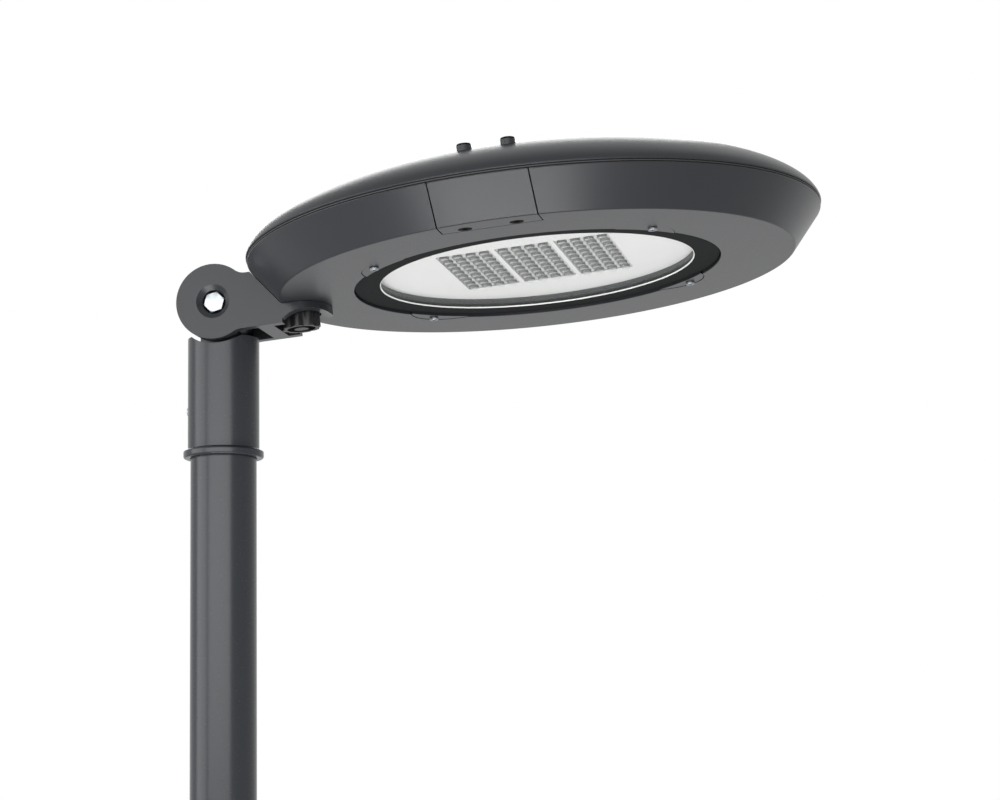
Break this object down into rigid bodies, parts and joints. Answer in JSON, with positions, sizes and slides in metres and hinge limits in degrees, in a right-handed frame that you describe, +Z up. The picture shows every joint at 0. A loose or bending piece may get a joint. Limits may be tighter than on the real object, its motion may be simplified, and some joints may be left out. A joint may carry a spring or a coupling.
{
  "type": "street lamp post",
  "caption": "Tall street lamp post with a disc-shaped LED head on a tilting knuckle, a stepped tubular post with an access door, and a slotted base plate.",
  "frame": {"origin": "on the post's axis at the underside of the base plate, at ground level", "axes": "+Z up along the post, +X from the post towards the head, -Y the side of the access door and of the head's service door"},
  "size_m": [0.7488, 0.5194, 3.614],
  "materials": {
    "powder_coated_steel": "satin",
    "powder_coated_aluminium": "satin",
    "galvanised_steel": "satin",
    "zinc_plated_steel": "satin",
    "black_steel_screws": "satin",
    "black_rubber": "matte",
    "black_nylon": "satin",
    "bare_aluminium": "satin",
    "white_aluminium": "matte",
    "clear_glass": "gloss",
    "clear_acrylic": "gloss",
    "grey_plastic": "satin"
  },
  "bodies": {
    "post": {"base_plate": "galvanised_steel", "base_gusset_1": "powder_coated_steel", "base_gusset_2": "powder_coated_steel", "base_gusset_3": "powder_coated_steel", "base_gusset_4": "powder_coated_steel", "base_tube": "powder_coated_steel", "fuse_board": "grey_plastic", "fuse_cutout": "black_nylon", "earth_stud": "zinc_plated_steel", "step_cone": "powder_coated_steel", "post_shaft": "powder_coated_steel", "post_spigot": "powder_coated_steel"},
    "base_door": {"base_door": "powder_coated_steel"},
    "base_lock": {"base_door_lock": "zinc_plated_steel"},
    "sleeve": {"post_sleeve": "powder_coated_aluminium", "sleeve_collar": "powder_coated_aluminium", "sleeve_grub_screw_1": "zinc_plated_steel", "sleeve_grub_screw_2": "zinc_plated_steel", "friction_disc_1": "bare_aluminium", "friction_disc_2": "bare_aluminium"},
    "head": {"cover_gasket": "black_rubber", "cover_screw_1": "black_steel_screws", "cover_screw_2": "black_steel_screws", "cover_screw_3": "black_steel_screws", "cover_screw_4": "black_steel_screws", "frame_screw_1": "zinc_plated_steel", "frame_screw_2": "zinc_plated_steel", "frame_screw_3": "zinc_plated_steel", "frame_screw_4": "zinc_plated_steel", "gear_tray": "galvanised_steel", "glass_frame": "powder_coated_aluminium", "glass_gasket": "black_rubber", "heat_spreader": "bare_aluminium", "led_board_1": "white_aluminium", "led_board_2": "white_aluminium", "led_board_3": "white_aluminium", "led_driver": "bare_aluminium", "lens_array_1": "clear_acrylic", "lens_array_2": "clear_acrylic", "lens_array_3": "clear_acrylic", "lower_body": "powder_coated_aluminium", "neck_arm": "powder_coated_aluminium", "reflector_plate": "white_aluminium", "surge_protector": "grey_plastic", "terminal_block": "grey_plastic", "tilt_bolt": "zinc_plated_steel", "tilt_nut": "zinc_plated_steel", "tilt_washer_1": "black_steel_screws", "tilt_washer_2": "black_steel_screws", "top_cover": "powder_coated_aluminium", "window_glass": "clear_glass"},
    "lock_knob": {"lock_knob": "black_nylon"},
    "service_door": {"service_door": "powder_coated_aluminium", "service_door_screw_1": "black_steel_screws", "service_door_screw_2": "black_steel_screws"}
  },
  "joints": [
    {"name": "base_door_tip", "type": "hinge", "parent": "post", "child": "base_door", "pos_m": [0, -0.05715, 0.45], "axis": [1, 0, 0], "range_deg": [0, 40]},
    {"name": "base_lock_turn", "type": "hinge", "parent": "base_door", "child": "base_lock", "pos_m": [0, -0.05715, 0.831], "axis": [0, -1, 0], "range_deg": [0, 90]},
    {"name": "sleeve_swivel", "type": "hinge", "parent": "post", "child": "sleeve", "pos_m": [0, 0, 3.4], "axis": [0, 0, 1], "range_deg": [-180, 180]},
    {"name": "head_tilt", "type": "hinge", "parent": "sleeve", "child": "head", "pos_m": [0, 0, 3.5], "axis": [0, -1, 0], "range_deg": [-5, 10]},
    {"name": "knob_turn", "type": "hinge", "parent": "head", "child": "lock_knob", "pos_m": [0.0723, 0, 3.49167], "axis": [-0.0872, 0, 0.9962], "range_deg": [0, 360]},
    {"name": "service_door_slide", "type": "slide", "parent": "head", "child": "service_door", "axis": [0.0872, 0, -0.9962], "range_m": [0, 0.06]}
  ]
}
